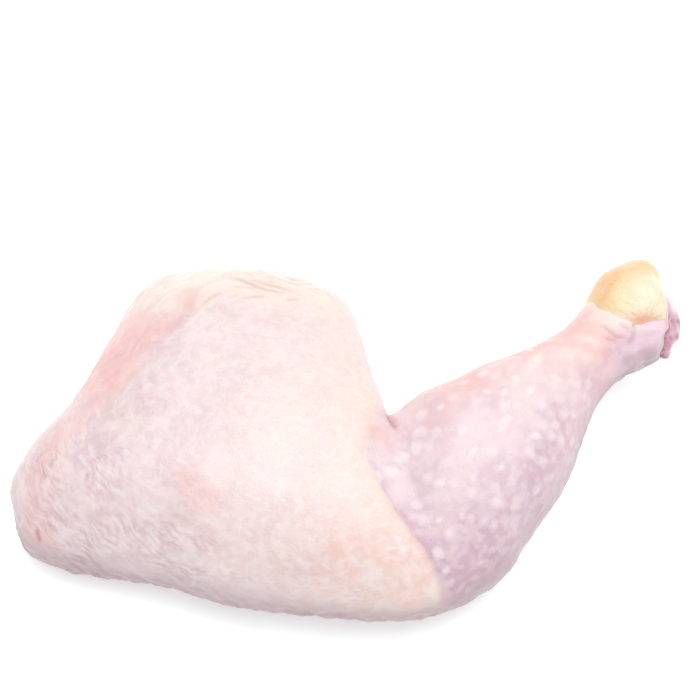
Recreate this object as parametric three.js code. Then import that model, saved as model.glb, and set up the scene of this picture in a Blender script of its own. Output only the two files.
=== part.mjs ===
// A raw chicken leg: thigh and drumstick in one piece with the skin on, bent at the knee and lying on its
// inner side, as it is sold. It is one closed solid.
// Millimetres, +Z up. The leg lies on Z = 0, with the origin under the middle of its footprint. +X runs from
// the hip end of the thigh to the hock, and the knee is on the -Y side.
import * as THREE from "three";

// Driving dimensions
const LEG_LENGTH = 190; // from the hip end of the thigh to the cut end of the hock, along X
const HIP_HEIGHT = 24; // each height is that of the leg's back above what it lies on
const THIGH_HEIGHT = 47;
const KNEE_HEIGHT = 39;
const BELLY_HEIGHT = 44;
const ANKLE_HEIGHT = 37;
const HOCK_HEIGHT = 41;
const END_HEIGHT = 36;
const ANKLE_CLEARANCE = 14; // free height under the ankle, which the thigh and the knee hold up
const HIP_ROUNDING = 2.2; // how many slices each end takes to round off
const HOCK_ROUNDING = 1.6;
const FULLNESS = 0.95; // 1 is an elliptic slice, and less is a boxier one
const FLATTENING = 3; // how softly the flesh turns into the flat that it lies on

// The web of skin in the bend of the leg, stretched between the thigh and the drumstick: the slice in its
// middle, how many slices it reaches, how far it lifts the inner edge, and how much of the back's rise it takes
const WEB_SLICE = 9.2;
const WEB_REACH = 1.3;
const WEB_LIFT = 15;
const WEB_DIP = 0.3;
const WEB_START = 0.2; // where across the slice it starts: -1 is the outer edge and 1 the inner edge

// Mesh density
const END_RINGS = 9; // on the rounding of each end
const MIDDLE_RINGS = 54;
const RING_POINTS = 40;

// The leg in plan, slice by slice from the hip end to the hock. A slice runs from the outer edge, round the
// knee, to the inner edge, in the bend of the leg: [slice, outer x, outer y, inner x, inner y].
const PLAN = [
  [0, -95, -25.5, -95, -7], // hip end
  [1, -88.2, -37, -89, -0.5],
  [2, -69, -41.3, -77.8, 11.5],
  [3, -51, -45.3, -69, 30],
  [4, -33, -51, -56, 50.5], // widest part of the thigh
  [5, -16, -54.5, -30, 53.5],
  [6, -1, -56, -7, 47],
  [7, 12, -56, 2, 33],
  [8, 23, -54, 5.5, 13],
  [9, 33, -50, 8, -1], // knee, with the bend of the leg opposite
  [10, 44, -41.5, 11.2, -2],
  [11, 53, -28, 20.2, 7.3], // belly of the drumstick
  [12, 61, -16, 33, 14],
  [13, 66, -3, 47, 20],
  [14, 70, 7, 57, 26], // ankle
  [15, 76, 14, 65, 34],
  [16, 83, 18.5, 72, 45],
  [17, 88, 21.5, 84, 49.5], // hock
  [18, 91, 24.5, 90, 42],
  [19, 95, 27, 94, 36], // cut end
];
const LAST_SLICE = PLAN.at(-1)[0];

// Heights along the leg, with how much lower the back gets towards the inner edge, as a share of its height:
// [slice, top, underside, widest height, slope]. An underside below zero is pressed flat.
const HEIGHTS = [
  [0, HIP_HEIGHT, -1, 11, 0],
  [2, THIGH_HEIGHT - 10, -4, 14, 0.1],
  [4.5, THIGH_HEIGHT, -5, 17, 0.35],
  [8, KNEE_HEIGHT, -4, 18, 0.2],
  [10.5, BELLY_HEIGHT, -3, 20, 0],
  [12, BELLY_HEIGHT - 1, 0, 22, 0],
  [14.5, ANKLE_HEIGHT, ANKLE_CLEARANCE, 25, 0],
  [17, HOCK_HEIGHT, ANKLE_CLEARANCE - 2, 26, 0],
  [19, END_HEIGHT, ANKLE_CLEARANCE + 4, 27, 0],
];

// The numbers of a table at a slice, on a smooth curve through its rows: a cubic between two rows, with the
// slope at each row being that of the chord between its neighbours.
function readAt(rows, slice) {
  const row = (i) => rows[THREE.MathUtils.clamp(i, 0, rows.length - 1)];
  const i = Math.min(
    rows.findLastIndex(([at]) => at <= slice),
    rows.length - 2,
  );
  const [before, from, to, after] = [i - 1, i, i + 1, i + 2].map(row);
  const span = to[0] - from[0];
  const t = (slice - from[0]) / span;
  const columns = [...from.keys()].slice(1);
  return columns.map((k) => {
    const leaving = ((to[k] - before[k]) / (to[0] - before[0])) * span;
    const arriving = ((after[k] - from[k]) / (after[0] - from[0])) * span;
    const rise = to[k] - from[k];
    const squared = 3 * rise - 2 * leaving - arriving;
    const cubed = leaving + arriving - 2 * rise;
    return from[k] + t * (leaving + t * (squared + t * cubed));
  });
}

// 0 at an end and 1 past its rounding, following a quarter of an ellipse.
const rounding = (distance, reach) => Math.sqrt(1 - (1 - Math.min(distance / reach, 1)) ** 2);

// A cosine or sine pushed outwards, which makes an ellipse boxier.
const fuller = (share) => Math.sign(share) * Math.abs(share) ** FULLNESS;

// A height with what lies below zero pressed flat and a soft bend around the flat.
function restingHeight(z) {
  if (z < -FLATTENING) return 0;
  return z > FLATTENING ? z : (z + FLATTENING) ** 2 / (4 * FLATTENING);
}

// 1 in the middle of the web of skin, at the inner edge, and 0 away from it.
function webShare(slice, across) {
  const near = Math.exp(-(((slice - WEB_SLICE) / WEB_REACH) ** 2));
  return near * THREE.MathUtils.smoothstep(-across, WEB_START, 1);
}

// A point of the skin: how far along the leg, in slices, and at what angle round the slice.
function skinPoint(slice, angle) {
  const [outerX, outerY, innerX, innerY] = readAt(PLAN, slice);
  const [top, under, widest, slope] = readAt(HEIGHTS, slice);
  const size = rounding(slice, HIP_ROUNDING) * rounding(LAST_SLICE - slice, HOCK_ROUNDING);
  const across = fuller(Math.cos(angle));
  const rise = size * fuller(Math.sin(angle));
  const web = webShare(slice, across);
  const side = widest + WEB_LIFT * web;
  const back = (top - side) * (1 - (slope * (1 - across)) / 2) * (1 - WEB_DIP * web);
  const point = new THREE.Vector3(innerX, innerY, 0).lerp(
    new THREE.Vector3(outerX, outerY, 0),
    (1 + size * across) / 2,
  );
  point.z = restingHeight(side + rise * (rise > 0 ? back : side - under));
  return point;
}

// The slices that carry the mesh's rings, close together at the two rounded ends.
function ringSlices() {
  const fromEnd = (i) => 1 - Math.cos((i / END_RINGS) * (Math.PI / 2));
  const slices = [];
  for (let i = 1; i <= END_RINGS; i++) slices.push(HIP_ROUNDING * fromEnd(i));
  for (let i = 1; i <= MIDDLE_RINGS; i++) {
    const share = i / (MIDDLE_RINGS + 1);
    slices.push(THREE.MathUtils.lerp(HIP_ROUNDING, LAST_SLICE - HOCK_ROUNDING, share));
  }
  for (let i = END_RINGS; i >= 1; i--) slices.push(LAST_SLICE - HOCK_ROUNDING * fromEnd(i));
  return slices;
}

// The skin as one closed surface: rings of points joined by triangles, with a point closing each end.
function legGeometry() {
  const slices = ringSlices();
  const points = [skinPoint(0, 0)];
  for (const slice of slices) {
    for (let i = 0; i < RING_POINTS; i++) points.push(skinPoint(slice, (i / RING_POINTS) * 2 * Math.PI));
  }
  points.push(skinPoint(LAST_SLICE, 0));

  const triangles = [];
  const at = (ring, i) => 1 + ring * RING_POINTS + (i % RING_POINTS);
  for (let i = 0; i < RING_POINTS; i++) {
    triangles.push(0, at(0, i), at(0, i + 1));
    triangles.push(points.length - 1, at(slices.length - 1, i + 1), at(slices.length - 1, i));
  }
  for (let ring = 0; ring < slices.length - 1; ring++) {
    for (let i = 0; i < RING_POINTS; i++) {
      triangles.push(at(ring, i), at(ring + 1, i), at(ring + 1, i + 1));
      triangles.push(at(ring, i), at(ring + 1, i + 1), at(ring, i + 1));
    }
  }
  const geometry = new THREE.BufferGeometry().setFromPoints(points);
  geometry.setIndex(triangles);
  return geometry;
}

// Brings a geometry to the stated length, with the middle of its footprint at the origin.
function placed(geometry) {
  geometry.computeBoundingBox();
  const size = geometry.boundingBox.getSize(new THREE.Vector3());
  geometry.scale(LEG_LENGTH / size.x, 1, 1);
  geometry.computeBoundingBox();
  const middle = geometry.boundingBox.getCenter(new THREE.Vector3());
  geometry.translate(-middle.x, -middle.y, -geometry.boundingBox.min.z);
  geometry.computeVertexNormals();
  return geometry;
}

const skin = new THREE.MeshStandardMaterial({ color: 0xf3dcd8, roughness: 0.45, metalness: 0 });
const leg = new THREE.Mesh(placed(legGeometry()), skin);
leg.name = "chicken_leg";

const part = new THREE.Group();
part.add(leg);

export default part;
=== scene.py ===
# %% [markdown]
# # A raw chicken leg
#
# The thing on the table is one piece of meat: a thigh and a drumstick under one skin, bent at the knee and
# lying on its inner side. What makes it look raw is in the skin: it is nearly white, a little wet, lets
# light in, and changes from place to place. The thigh is padded with cream fat that ends in a line at the
# knee, the drumstick is thin-skinned and mauve with rows of feather follicles, and the hock ends in a cap
# of yellow scales.
#
# The solid that carries all this is loaded first. Everything below is worked out around it, in its own
# frame.

# %% Load the frame
from itertools import product
from math import cos, pi, radians, sin

import bpy
import numpy as np
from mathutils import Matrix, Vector


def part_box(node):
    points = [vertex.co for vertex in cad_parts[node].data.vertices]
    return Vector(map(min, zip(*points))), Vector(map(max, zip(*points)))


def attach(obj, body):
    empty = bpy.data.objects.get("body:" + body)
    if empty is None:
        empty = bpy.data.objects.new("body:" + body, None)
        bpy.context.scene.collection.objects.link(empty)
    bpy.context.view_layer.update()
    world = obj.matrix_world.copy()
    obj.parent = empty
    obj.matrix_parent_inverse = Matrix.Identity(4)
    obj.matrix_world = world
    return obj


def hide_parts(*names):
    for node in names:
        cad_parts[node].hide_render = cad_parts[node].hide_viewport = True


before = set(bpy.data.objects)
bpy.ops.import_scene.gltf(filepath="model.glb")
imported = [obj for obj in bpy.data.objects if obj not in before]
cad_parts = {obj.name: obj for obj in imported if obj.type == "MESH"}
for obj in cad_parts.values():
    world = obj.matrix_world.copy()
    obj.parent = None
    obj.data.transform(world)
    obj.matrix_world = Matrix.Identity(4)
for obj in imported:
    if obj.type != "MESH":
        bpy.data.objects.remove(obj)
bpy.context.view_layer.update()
NODE = "chicken_leg"
METRE = 1000  # millimetres in a metre: shapes are worked out in millimetres and stored in metres
low, high = (np.array(corner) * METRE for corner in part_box(NODE))
print("the solid in mm:", np.round(low, 1), "to", np.round(high, 1))

# %% [markdown]
# ## Camera and light
#
# The camera looks down on the leg at 60 degrees from its knee side. The light is that of a white studio
# table: an even white surrounding, and one large soft lamp above that gives the skin its shine and its
# faint shadows.

# %% Camera
CAMERA_ELEVATION = radians(60)
CAMERA_DISTANCE = 0.75
AIM = np.array([0.3, 20.5, 31.8]) / METRE  # the point in the middle of the picture
PIXEL_SIZE = 0.282 / METRE  # what one pixel covers at that point
PICTURE_WIDTH = 700
SENSOR_WIDTH = 36

camera = bpy.data.objects.new("camera", bpy.data.cameras.new("camera"))
bpy.context.scene.collection.objects.link(camera)
away = np.array([0, -cos(CAMERA_ELEVATION), sin(CAMERA_ELEVATION)])
camera.location = AIM + away * CAMERA_DISTANCE
camera.rotation_euler = (pi / 2 - CAMERA_ELEVATION, 0, 0)
camera.data.sensor_width = SENSOR_WIDTH
camera.data.lens = SENSOR_WIDTH * CAMERA_DISTANCE / (PIXEL_SIZE * PICTURE_WIDTH)
bpy.context.scene.camera = camera
print("lens", round(camera.data.lens, 1), "mm")

# %% Light and floor
SKY_STRENGTH = 0.95
LAMP_PLACE, LAMP_SIZE, LAMP_WATTS = (0.15, 0.12, 1.12), 1.0, 9.0  # metres and watts
FLOOR_SIZE, FLOOR_GAP = 3000, 0.05  # millimetres
scene = bpy.context.scene
scene.view_settings.view_transform = "Standard"
world = bpy.data.worlds.new("studio")
world.use_nodes = True
sky = world.node_tree.nodes["Background"]
sky.inputs["Color"].default_value = (1, 1, 1, 1)
sky.inputs["Strength"].default_value = SKY_STRENGTH
scene.world = world


def softbox(name, place, size, watts):
    """A square lamp at a place, turned towards the leg."""
    lamp = bpy.data.objects.new(name, bpy.data.lights.new(name, "AREA"))
    scene.collection.objects.link(lamp)
    lamp.location = place
    lamp.data.size = size
    lamp.data.energy = watts
    lamp.rotation_euler = Vector(AIM - np.array(place)).to_track_quat("-Z", "Y").to_euler()


softbox("lamp_above", LAMP_PLACE, LAMP_SIZE, LAMP_WATTS)


def add_mesh(name, points, faces):
    """Points in millimetres and faces become a mesh object at the origin."""
    mesh = bpy.data.meshes.new(name)
    mesh.from_pydata((points / METRE).tolist(), [], faces)
    mesh.update()
    piece = bpy.data.objects.new(name, mesh)
    scene.collection.objects.link(piece)
    return piece


corners = np.array([[-1, -1], [1, -1], [1, 1], [-1, 1]]) * FLOOR_SIZE / 2
floor = add_mesh("floor", np.column_stack([corners, np.full(4, low[2] - FLOOR_GAP)]), [(0, 1, 2, 3)])

# %% [markdown]
# ## The form under the skin
#
# The leg is a loft: a row of slices from the hip end of the thigh to the hock, each a soft ellipse between
# an outer edge, round the knee, and an inner edge, in the bend. The tables are those of the solid, so both
# have one form. A slice number that isn't whole lies between two rows, on a smooth curve through them.

# %% The slices
PLAN = np.array([  # slice, outer x, outer y, inner x, inner y
    [0, -95, -25.5, -95, -7],  # hip end
    [1, -88.2, -37, -89, -0.5],
    [2, -69, -41.3, -77.8, 11.5],
    [3, -51, -45.3, -69, 30],
    [4, -33, -51, -56, 50.5],  # widest part of the thigh
    [5, -16, -54.5, -30, 53.5],
    [6, -1, -56, -7, 47],
    [7, 12, -56, 2, 33],
    [8, 23, -54, 5.5, 13],
    [9, 33, -50, 8, -1],  # knee
    [10, 44, -41.5, 11.2, -2],
    [11, 53, -28, 20.2, 7.3],  # belly of the drumstick
    [12, 61, -16, 33, 14],
    [13, 66, -3, 47, 20],
    [14, 70, 7, 57, 26],  # ankle
    [15, 76, 14, 65, 34],
    [16, 83, 18.5, 72, 45],
    [17, 88, 21.5, 84, 49.5],  # hock
    [18, 91, 24.5, 90, 42],
    [19, 95, 27, 94, 36],  # cut end
])
HEIGHTS = np.array([  # slice, top, underside, widest height, how much lower the inner side is
    [0, 24, -1, 11, 0],
    [2, 37, -4, 14, 0.1],
    [4.5, 47, -5, 17, 0.35],
    [8, 39, -4, 18, 0.2],
    [10.5, 44, -3, 20, 0],
    [12, 43, 0, 22, 0],
    [14.5, 37, 14, 25, 0],
    [17, 41, 12, 26, 0],
    [19, 36, 18, 27, 0],
])
HIP_ROUNDING = 2.2
HOCK_ROUNDING = 1.6
FULLNESS = 0.95
FLATTENING = 3
WEB_SLICE, WEB_REACH, WEB_START = 9.2, 1.3, 0.2
WEB_LIFT, WEB_DIP = 15, 0.3
LAST_SLICE = PLAN[-1, 0]


def smooth(start, end, value):
    """0 up to start and 1 from end on, with an easy bend at both."""
    share = np.clip((value - start) / (end - start), 0, 1)
    return share * share * (3 - 2 * share)


def grid_of(first, second):
    """Every pairing of two rows of numbers, the first running down and the second across."""
    return np.meshgrid(first, second, indexing="ij")


def bell(value, middle, width):
    """1 at the middle, fading to 0 away from it: exp(-((value - middle) / width)^2)."""
    return np.exp(-(((value - middle) / width) ** 2))


def read_at(rows, at):
    """The columns of a table at slice numbers, on a cubic whose slope at a row is its neighbours' chord."""
    key = rows[:, 0]
    i = np.clip(np.searchsorted(key, at, side="right") - 1, 0, len(rows) - 2)
    padded = np.vstack([rows[0], rows, rows[-1]])
    before, start, end, after = padded[i], padded[i + 1], padded[i + 2], padded[i + 3]
    span = (end - start)[..., :1]
    t = (at[..., None] - start[..., :1]) / span
    leaving = (end - before) / (end - before)[..., :1] * span
    arriving = (after - start) / (after - start)[..., :1] * span
    rise = end - start
    squared, cubed = 3 * rise - 2 * leaving - arriving, leaving + arriving - 2 * rise
    value = start + t * (leaving + t * (squared + t * cubed))
    return np.moveaxis(value[..., 1:], -1, 0)


def rounding(distance, reach):
    """0 at an end and 1 past its rounding, following a quarter of an ellipse."""
    return np.sqrt(np.clip(1 - (1 - np.minimum(distance / reach, 1)) ** 2, 0, 1))


def form(at, angle):
    """The smooth form at slice numbers and angles: along a slice by the cosine, up and down by the sine."""
    outer_x, outer_y, inner_x, inner_y = read_at(PLAN, at)
    top, under, widest, slope = read_at(HEIGHTS, at)
    size = rounding(at, HIP_ROUNDING) * rounding(LAST_SLICE - at, HOCK_ROUNDING)
    across = np.sign(np.cos(angle)) * np.abs(np.cos(angle)) ** FULLNESS
    rise = size * np.sign(np.sin(angle)) * np.abs(np.sin(angle)) ** FULLNESS
    web = bell(at, WEB_SLICE, WEB_REACH) * smooth(WEB_START, 1, -across)
    side = widest + WEB_LIFT * web
    back = (top - side) * (1 - slope * (1 - across) / 2) * (1 - WEB_DIP * web)
    share = (1 + size * across) / 2
    x, y = inner_x + (outer_x - inner_x) * share, inner_y + (outer_y - inner_y) * share
    height = side + rise * np.where(rise > 0, back, side - under)
    pressed = np.clip(height + FLATTENING, 0, None) ** 2 / (4 * FLATTENING)
    return np.stack([x, y, np.where(height > FLATTENING, height, pressed)], -1)


# %% [markdown]
# The loft is moved onto the solid by its box, so a change of the solid's size carries over to all that
# follows. A surface needs its outward direction everywhere, because skin relief is a push along it. That
# direction is the cross product of two small steps over the form.

# %% The form in its place
probe = form(*grid_of(np.linspace(0, LAST_SLICE, 400), np.linspace(0, 2 * pi, 180)))
probe_low, probe_high = probe.min((0, 1)), probe.max((0, 1))
STRETCH = np.array([(high - low)[0] / (probe_high - probe_low)[0], 1, 1])
SHIFT = (low + high) / 2 - STRETCH * (probe_low + probe_high) / 2
SHIFT[2] = low[2] - probe_low[2]


def leg_form(at, angle):
    """The smooth form in the solid's own place, in millimetres."""
    return form(at, angle) * STRETCH + SHIFT


def unit(vectors):
    """Vectors made one long."""
    return vectors / np.maximum(np.linalg.norm(vectors, axis=-1, keepdims=True), 1e-9)


def outward(at, angle, step=0.02):
    """The direction out of the form: the cross product of a small step round and a small step along."""
    behind, ahead = (np.clip(at + change, 0, LAST_SLICE) for change in (-step, step))
    along = leg_form(ahead, angle) - leg_form(behind, angle)
    return unit(np.cross(along, leg_form(at, angle + step) - leg_form(at, angle - step)))


print("the back of slice 10 faces", np.round(outward(np.array([10.0]), np.array([pi / 2]))[0], 2))

# %% [markdown]
# ## Unevenness
#
# Meat has no straight line or even surface, so every field below leans on one source of unevenness:
# gradient noise, smooth hills of a chosen size that never repeat. Each corner of a unit lattice gets a
# random slope, and the slopes of the eight corners around a point are blended.

# %% Noise
SEED_STEP = 7.31  # how far apart in the lattice two seeds read it
NOISE_GAIN = 1.7
random = np.random.default_rng(17)
SHUFFLE = np.concatenate([random.permutation(256)] * 2)
SLOPES = random.normal(size=(256, 3))
SLOPES /= np.linalg.norm(SLOPES, axis=1, keepdims=True)


def noise(points, size, seed=0):
    """Hills from -1 to 1 of a size: corner slopes times distance, blended by 6t^5 - 15t^4 + 10t^3."""
    place = points / np.asarray(size, float) + seed * SEED_STEP
    corner = np.floor(place).astype(int)
    inside = place - corner
    fade = inside ** 3 * (inside * (6 * inside - 15) + 10)
    total = np.zeros(points.shape[:-1])
    for step in product((0, 1), repeat=3):
        x, y, z = np.moveaxis((corner + step) & 255, -1, 0)
        slope = SLOPES[SHUFFLE[SHUFFLE[SHUFFLE[x] + y] + z]]
        weight = np.where(step, fade, 1 - fade).prod(-1)
        total += weight * ((inside - step) * slope).sum(-1)
    return total * NOISE_GAIN


def near_path(points, path, dense=40):
    """How far points in plan are from a smooth path, how far along it (0 to 1), and the side (+ is left)."""
    path = np.asarray(path, float)
    t = np.linspace(0, len(path) - 1, dense * (len(path) - 1) + 1)
    x, y = read_at(np.column_stack([np.arange(len(path)), path]), t)
    nearest = ((points[..., :1] - x) ** 2 + (points[..., 1:2] - y) ** 2).argmin(-1)
    run_x, run_y = np.gradient(x)[nearest], np.gradient(y)[nearest]
    dx, dy = points[..., 0] - x[nearest], points[..., 1] - y[nearest]
    return np.hypot(dx, dy), nearest / (len(t) - 1), np.sign(run_x * dy - run_y * dx)


sample = noise(random.uniform(-90, 90, (4000, 3)), 20)
print("noise runs from", round(float(sample.min()), 2), "to", round(float(sample.max()), 2))

# %% [markdown]
# ## Where the fat ends
#
# The most telling line on the leg is where the thigh's fat stops at the knee. It runs from the bend, down
# across the top and over the outer edge. A sharp line on a mesh has to follow the mesh's own rows, so the
# rows are bent: at row 8 each column is moved along the leg until it lies on the line, and the shift fades
# out some four rows away.

# %% The fat line and the rows that follow it
FAT_LINE = [  # in plan, from inside the bend, over the top of the knee and down its outer side
    (18, 20), (12.5, 8), (9, 0), (6.6, -6), (4.9, -12), (5.2, -17.5), (7.8, -24),
    (11.2, -30.3), (14.7, -34.8), (18.5, -40.7), (22, -45.4), (24.7, -49.5), (26, -54), (27, -62),
]
FAT_ROW = 8
BEND_REACH = 4.6  # how many rows away the bending has faded out
SCALLOPS = ((0.08, 4.5, 30), (0.07, 2.4, 38))  # slices, size in millimetres and seed
EVENING = 9  # how many columns the line is evened out over

columns_try = np.linspace(0, 2 * pi, 181)
slices_try = np.linspace(5.5, 11, 177)
past = near_path(leg_form(*grid_of(slices_try, columns_try)), FAT_LINE)[2] > 0
crossing = np.where(past.any(0), slices_try[past.argmax(0)], slices_try[-1])


def fat_slice(angle):
    """The slice number at which a column crosses the fat line, evened out between columns and scalloped."""
    turn, round_once = np.mod(angle, 2 * pi), len(columns_try) - 1
    kernel = np.hanning(EVENING)
    even = np.convolve(np.tile(crossing[:-1], 3), kernel / kernel.sum(), "same")
    edge = leg_form(np.full_like(turn, FAT_ROW), turn)
    scallops = sum(reach * noise(edge, size, seed) for reach, size, seed in SCALLOPS)
    return np.interp(turn, columns_try, even[round_once:2 * round_once + 1]) + scallops


def bent(row, angle):
    """A row number as a slice number: the rows near the fat line bend onto it."""
    return row + smooth(BEND_REACH, 0, np.abs(row - FAT_ROW)) * (fat_slice(angle) - FAT_ROW)


print("the fat line is crossed between slices", np.round([crossing.min(), crossing.max()], 2))

# %% [markdown]
# ## The skin's mesh
#
# One closed grid: rows along the leg, columns round it, and a point at each end. The columns crowd on the
# upper side and the rows crowd where the relief is finest, at the wrinkled hip end, at the fat line and at
# the ankle. At the hock the skin was cut round the joint, so its edge rolls inwards there and closes
# inside, out of sight.

# %% Where the rows and columns lie
ROWS, COLUMNS = 380, 256
CUT_SLICE, CUT_BACK = 18.15, 1.2  # how far the skin reaches over the joint at most, and is cut back
UNDERSIDE_DENSITY = 0.3
LIP_ROWS, LIP_RADIUS = 8, 0.8
EASING_PASSES = 150


def spread(values, density, count):
    """`count` places along `values`, close together where the density is high."""
    total = np.concatenate([[0], np.cumsum((density[1:] + density[:-1]) / 2 * np.diff(values))])
    return np.interp(np.linspace(0, total[-1], count), total, values)


def pace(along, around, axis):
    """Millimetres of skin to a unit of slice (axis 0) or angle (axis 1), averaged over the other."""
    points = leg_form(*grid_of(along, around))
    steps = np.linalg.norm(np.gradient(points, (along, around)[axis], axis=axis), axis=-1)
    return steps.mean(1 - axis)


def cut_slice(angle):
    """Where the skin ends round the joint: furthest on the inner side, and cut back on the outer side."""
    return CUT_SLICE - CUT_BACK / 2 * (1 + np.cos(angle + radians(35)))


try_rows = np.linspace(0, CUT_SLICE, 600)
row_density = pace(try_rows, np.linspace(0, pi, 60), 0)
row_density *= 1 + 0.5 * (1 - smooth(3, 6, try_rows)) + 0.3 * bell(try_rows, FAT_ROW, 0.8)
row_density *= 1 + 0.25 * smooth(13, 15, try_rows)
row_places = spread(try_rows, row_density, ROWS)

try_angles = np.linspace(0, 2 * pi, 721)
column_density = pace(np.array([3, 5, 7, 11, 13.0]), try_angles, 1)
column_density *= UNDERSIDE_DENSITY + (1 - UNDERSIDE_DENSITY) * smooth(-0.5, 0.1, np.sin(try_angles))
column_places = spread(try_angles, column_density, COLUMNS + 1)[:-1]

row, angle = grid_of(row_places[1:], column_places)
at = np.clip(bent(row, angle), 0, LAST_SLICE)
at -= (CUT_SLICE - cut_slice(angle)) * smooth(15.4, CUT_SLICE, row)
smooth_skin = leg_form(at, angle)
skin_out = outward(at, angle)


def eased(points, share, passes):
    """Points drawn towards the mean of their four neighbours where the share is 1, pass after pass."""
    for _ in range(passes):
        mean = points.copy()
        sides = np.roll(points, 1, 1) + np.roll(points, -1, 1)
        mean[1:-1] = (points[2:] + points[:-2] + sides[1:-1]) / 4
        points = points + share * (mean - points)
    return points


def grid_normal(points):
    """The direction out of a grid of points: the cross product of its steps along and round."""
    return unit(np.cross(np.gradient(points, axis=0), np.roll(points, -1, 1) - np.roll(points, 1, 1)))


degrees = np.degrees(angle)
in_bend = smooth(6.6, 7.6, at) * smooth(10.6, 9.4, at) * smooth(90, 112, degrees) * smooth(200, 180, degrees)
in_bend = in_bend[..., None]
smooth_skin = eased(smooth_skin, in_bend, EASING_PASSES)
skin_out = unit(skin_out * (1 - in_bend) + grid_normal(smooth_skin) * in_bend)
x, y, _ = np.moveaxis(smooth_skin, -1, 0)
gaps = np.linalg.norm(np.diff(smooth_skin[:, angle[0] < pi], axis=0), axis=-1)
print("rows on the upper side lie apart (median and most, mm):", np.round([np.median(gaps), gaps.max()], 2))

# %% [markdown]
# ## Relief
#
# Skin relief is drawn as heights in millimetres over the smooth form, one field for each thing that can be
# seen: soft lumps of meat, the step and groove where the fat ends, feather follicles, wrinkles, folds and
# tendons. Each field is kept, because the colours later use the same places.

# %% Lumps and fat
upper = smooth(-0.1, 0.45, skin_out[..., 2])  # what is seen from above, where features placed in plan belong
line_gap, line_share, _ = near_path(smooth_skin, FAT_LINE)
crisp = smooth(0.35, 0.6, line_share)  # the line is soft in the bend and crisp over the knee
line_width = 0.25 - 0.17 * crisp + 0.22 * smooth(0.74, 0.92, line_share)
drumstick = smooth(-line_width, line_width, row - FAT_ROW)
fat_edge = 0.45 * (1 - drumstick) * np.exp(-line_gap / 12)
groove = -0.3 * crisp * bell(line_gap, 0, 1.2) - 0.5 * (1 - crisp) * bell(line_gap, 0, 3.5)
dome = 2.2 * bell(x, -28, 40) * bell(y, 0, 34) * upper
knobbly = smooth(0.5, 0, skin_out[..., 2]) * (1 - drumstick)  # the thigh's outline is finely uneven
LUMPS = ((0.9, 27, 0), (0.4, 12, 1), (0.16, 5.5, 2), (0.06, 2.4, 34))  # height, size and seed


def lumps(points):
    """The soft unevenness of the meat, in four sizes, calm at the hock."""
    calm = 1 - 0.75 * smooth(60, 85, points[..., 0])
    return calm * sum(height * noise(points, size, seed) for height, size, seed in LUMPS)


relief = lumps(smooth_skin) + fat_edge + groove + dome + 0.45 * noise(smooth_skin, 3, 41) * knobbly
print("lumps reach", round(float(lumps(smooth_skin).max()), 2), "mm")

# %% [markdown]
# Feather follicles sit on the drumstick in slanting rows, about five millimetres apart. The drumstick is
# nearly a cylinder, so the rows are laid out on one, each point is nudged, and its nearest point of skin
# becomes the follicle's middle. A follicle is a soft bump that falls off to an uneven border. Low on the
# outer side they are as high, but less pale.

# %% Follicles
DRUM_FROM = np.array([30, -34, 22.0])  # the drumstick's axis, from inside the knee to inside the ankle
DRUM_TO = np.array([66, 17, 26.0])
DRUM_RADIUS = 20
FOLLICLE_GAP, FOLLICLE_RADIUS, FOLLICLE_HEIGHT = 5.1, 2.1, 0.46
NUDGE = 0.16  # of the gap
PALE_PLACE, PALE_REACH = (14, -13), 13  # by the bend they are bigger and paler
drum_axis = unit(DRUM_TO - DRUM_FROM)
drum_side = unit(np.cross(drum_axis, [0, 0, 1]))
drum_up = np.cross(drum_side, drum_axis)


def unrolled(points):
    """Points round the drumstick as if it were rolled out flat: millimetres along and millimetres round."""
    rel = points - DRUM_FROM
    turn = np.arctan2(rel @ drum_side, rel @ drum_up)
    return np.stack([rel @ drum_axis, turn * DRUM_RADIUS], -1)


def nearest_of(points, marks, chunk=64):
    """For each point, the squared distance to its nearest mark and which mark it is."""
    best = np.full(len(points), np.inf)
    which = np.zeros(len(points), int)
    for start in range(0, len(marks), chunk):
        some = marks[start:start + chunk]
        squared = (points ** 2).sum(1)[:, None] + (some ** 2).sum(1) - 2 * points @ some.T
        index = squared.argmin(1)
        value = squared[np.arange(len(points)), index]
        which = np.where(value < best, start + index, which)
        best = np.minimum(value, best)
    return np.maximum(best, 0), which


def follicle_marks(spacing, region):
    """A slanting lattice over the rolled-out drumstick, nudged and moved onto the nearest skin."""
    steps = np.arange(-14, 34)
    i, j = grid_of(steps, steps)
    lattice = np.stack([i + 0.5 * j, 0.87 * j - 0.12 * i], -1).reshape(-1, 2) * spacing
    lattice = lattice + random.normal(size=lattice.shape) * NUDGE * spacing
    flat = unrolled(smooth_skin[region])
    inside = (lattice > flat.min(0)).all(1) & (lattice < flat.max(0)).all(1)
    gap, which = nearest_of(lattice[inside], flat)
    return smooth_skin[region][which[gap < 1]]


follicles = follicle_marks(FOLLICLE_GAP, (row > FAT_ROW - 1.6) & (row < 15.2))
pale = np.exp(-((follicles[:, :2] - PALE_PLACE) ** 2).sum(-1) / PALE_REACH ** 2)
follicle_size = random.uniform(0.75, 1.2, len(follicles)) + 0.55 * pale
follicle_height = 0.12 + 0.85 * random.uniform(0, 1, len(follicles)) ** 1.3 + 0.5 * pale
squared, which = nearest_of(smooth_skin.reshape(-1, 3), follicles)
which = which.reshape(row.shape)
gap = np.sqrt(squared).reshape(row.shape) * (1 + 0.32 * noise(smooth_skin, 2.3, 9))
on_fat = 0.8 * smooth(FAT_ROW - 1.7, FAT_ROW - 0.5, row) * smooth(0.45, 0.65, line_share)
strength = np.maximum(drumstick, on_fat) * (1 - smooth(12.6, 14.6, row))
strength *= (1 - 0.5 * smooth(118, 142, degrees)) * (0.55 + 0.45 * smooth(8, 32, degrees))
follicle = smooth(1, 0.2, gap / (FOLLICLE_RADIUS * follicle_size[which])) * follicle_height[which] * strength
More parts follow.
